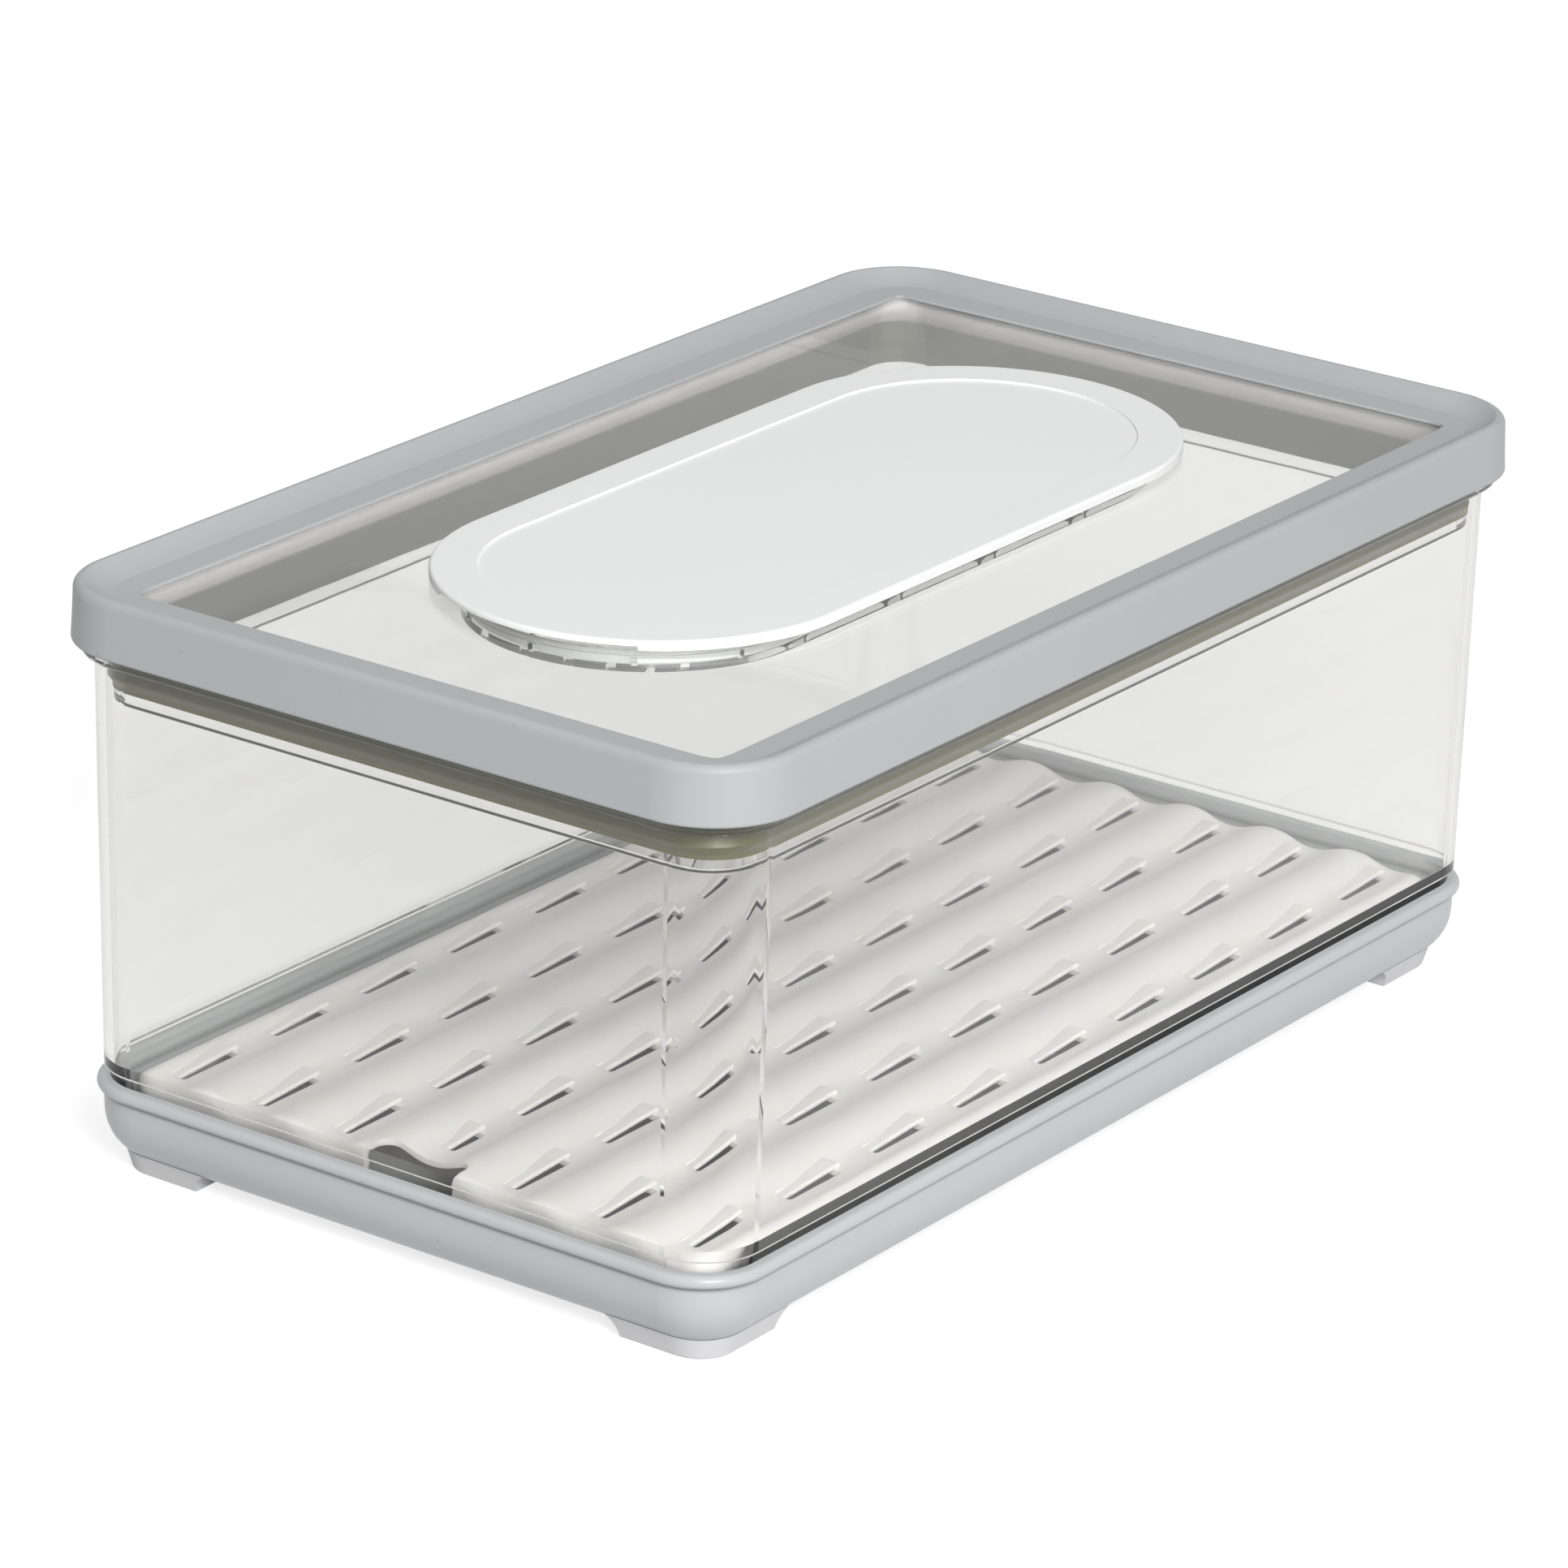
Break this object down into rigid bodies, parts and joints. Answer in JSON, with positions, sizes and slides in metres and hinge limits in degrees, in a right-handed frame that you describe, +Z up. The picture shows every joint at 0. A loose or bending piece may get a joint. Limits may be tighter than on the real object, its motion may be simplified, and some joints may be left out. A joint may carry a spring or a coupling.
{
  "type": "fridge storage bin",
  "caption": "Clear lidded fridge bin with a grey base tray and lid frame, a drain insert, and a white cap over a vented filter well.",
  "frame": {"origin": "centre of the footprint on the surface it stands on", "axes": "+X along the long side, +Y along the short side to the back, +Z up"},
  "size_m": [0.316, 0.1884, 0.1378],
  "materials": {
    "clear_bin": "clear polished plastic",
    "clear_lid": "clear polished plastic",
    "base_grey": "satin pale grey plastic",
    "foot_soft": "soft matte pale elastomer",
    "insert_white": "translucent frosted warm white plastic",
    "frame_grey": "matte cool grey plastic",
    "seal_olive": "olive green silicone",
    "cap_white": "satin white plastic",
    "holder_white": "white plastic",
    "carbon_felt": "dark carbon felt"
  },
  "bodies": {
    "bin": {"bin": "clear_bin", "base_tray": "base_grey", "foot_front_left": "foot_soft", "foot_front_right": "foot_soft", "foot_back_left": "foot_soft", "foot_back_right": "foot_soft"},
    "drain_insert": {"drain_insert": "insert_white"},
    "lid": {"lid_frame": "frame_grey", "lid_panel": "clear_lid", "lid_seal": "seal_olive"},
    "vent_cap": {"vent_cap": "cap_white"},
    "filter": {"filter_holder": "holder_white", "filter_pad": "carbon_felt"}
  },
  "joints": [
    {"name": "lid_lift", "type": "slide", "parent": "bin", "child": "lid", "axis": [0, 0, 1], "range_m": [0, 0.12]},
    {"name": "insert_lift", "type": "slide", "parent": "bin", "child": "drain_insert", "axis": [0, 0, 1], "range_m": [0, 0.08]},
    {"name": "cap_lift", "type": "slide", "parent": "lid", "child": "vent_cap", "axis": [0, 0, 1], "range_m": [0, 0.06]},
    {"name": "filter_lift", "type": "slide", "parent": "lid", "child": "filter", "axis": [0, 0, 1], "range_m": [0, 0.03]}
  ],
  "couplings": [
    {"joint": "filter_lift", "follows": "cap_lift", "ratio": 0.5}
  ]
}
